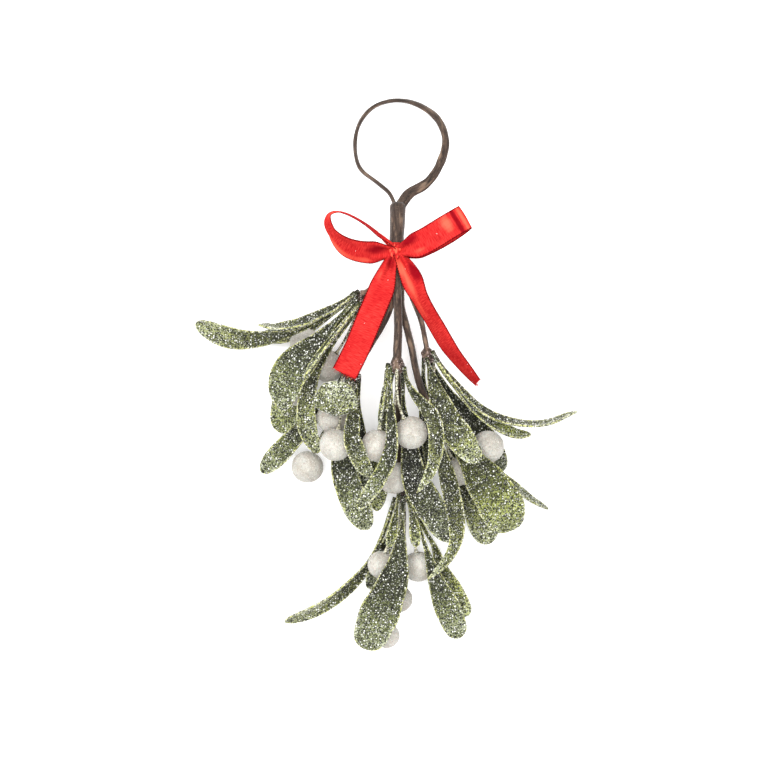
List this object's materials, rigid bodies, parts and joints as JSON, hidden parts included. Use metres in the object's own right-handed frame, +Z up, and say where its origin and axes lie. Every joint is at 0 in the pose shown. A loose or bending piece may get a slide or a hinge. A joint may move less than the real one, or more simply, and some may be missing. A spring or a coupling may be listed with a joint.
{
  "type": "mistletoe bunch",
  "caption": "Frosted artificial mistletoe bunch with pearl berries, taped wire stems and hanging loop, and a red satin ribbon bow, lying on a surface.",
  "frame": {"origin": "middle of the bunch's bounding box, on the surface that it lies on", "axes": "+Y from the leaves to the hanging loop, along the bunch; +Z up from the surface; +X to the right, seen from above with the loop at the top"},
  "size_m": [0.152, 0.2192, 0.0422],
  "materials": {
    "leaf_frosted_green": "soft plastic leaf in grey-green with yellow-green rims, dusted with fine silver frost",
    "leaf_yellow_green": "soft plastic leaf in yellow-green, dusted with fine silver frost",
    "leaf_dark_green": "soft plastic leaf in dark grey-green, lightly frosted",
    "berry_pearl": "rough pearl white, finely beaded",
    "stem_tape": "brown crepe floral tape wound over wire, finely ridged",
    "ribbon_satin": "red satin, soft sheen across the weave, woven edges"
  },
  "bodies": {
    "root": {"berry_a1": "berry_pearl", "berry_a2": "berry_pearl", "berry_a3": "berry_pearl", "berry_b1": "berry_pearl", "berry_b2": "berry_pearl", "berry_b3": "berry_pearl", "berry_c1": "berry_pearl", "berry_c2": "berry_pearl", "berry_c3": "berry_pearl", "berry_d1": "berry_pearl", "berry_e1": "berry_pearl", "berry_f1": "berry_pearl", "berry_f2": "berry_pearl", "berry_f3": "berry_pearl", "berry_f4": "berry_pearl", "hanger_loop": "stem_tape", "leaf_a1": "leaf_frosted_green", "leaf_a2": "leaf_frosted_green", "leaf_a3": "leaf_frosted_green", "leaf_a4": "leaf_yellow_green", "leaf_a5": "leaf_frosted_green", "leaf_a6": "leaf_frosted_green", "leaf_a7": "leaf_dark_green", "leaf_b1": "leaf_frosted_green", "leaf_b2": "leaf_frosted_green", "leaf_b3": "leaf_frosted_green", "leaf_b4": "leaf_dark_green", "leaf_b5": "leaf_frosted_green", "leaf_b6": "leaf_dark_green", "leaf_c1": "leaf_frosted_green", "leaf_c2": "leaf_frosted_green", "leaf_c3": "leaf_dark_green", "leaf_c4": "leaf_frosted_green", "leaf_c5": "leaf_yellow_green", "leaf_d1": "leaf_frosted_green", "leaf_d2": "leaf_yellow_green", "leaf_d3": "leaf_frosted_green", "leaf_d4": "leaf_dark_green", "leaf_d5": "leaf_dark_green", "leaf_e1": "leaf_yellow_green", "leaf_e2": "leaf_frosted_green", "leaf_e3": "leaf_frosted_green", "leaf_e4": "leaf_frosted_green", "leaf_e5": "leaf_dark_green", "leaf_f1": "leaf_frosted_green", "leaf_f2": "leaf_frosted_green", "leaf_f3": "leaf_frosted_green", "leaf_f4": "leaf_yellow_green", "leaf_f5": "leaf_dark_green", "leaf_f6": "leaf_frosted_green", "leaf_f7": "leaf_yellow_green", "ribbon_bow": "ribbon_satin", "stem_a": "stem_tape", "stem_b": "stem_tape", "stem_bundle": "stem_tape", "stem_c": "stem_tape", "stem_d": "stem_tape", "stem_e": "stem_tape", "stem_f": "stem_tape"}
  },
  "joints": []
}
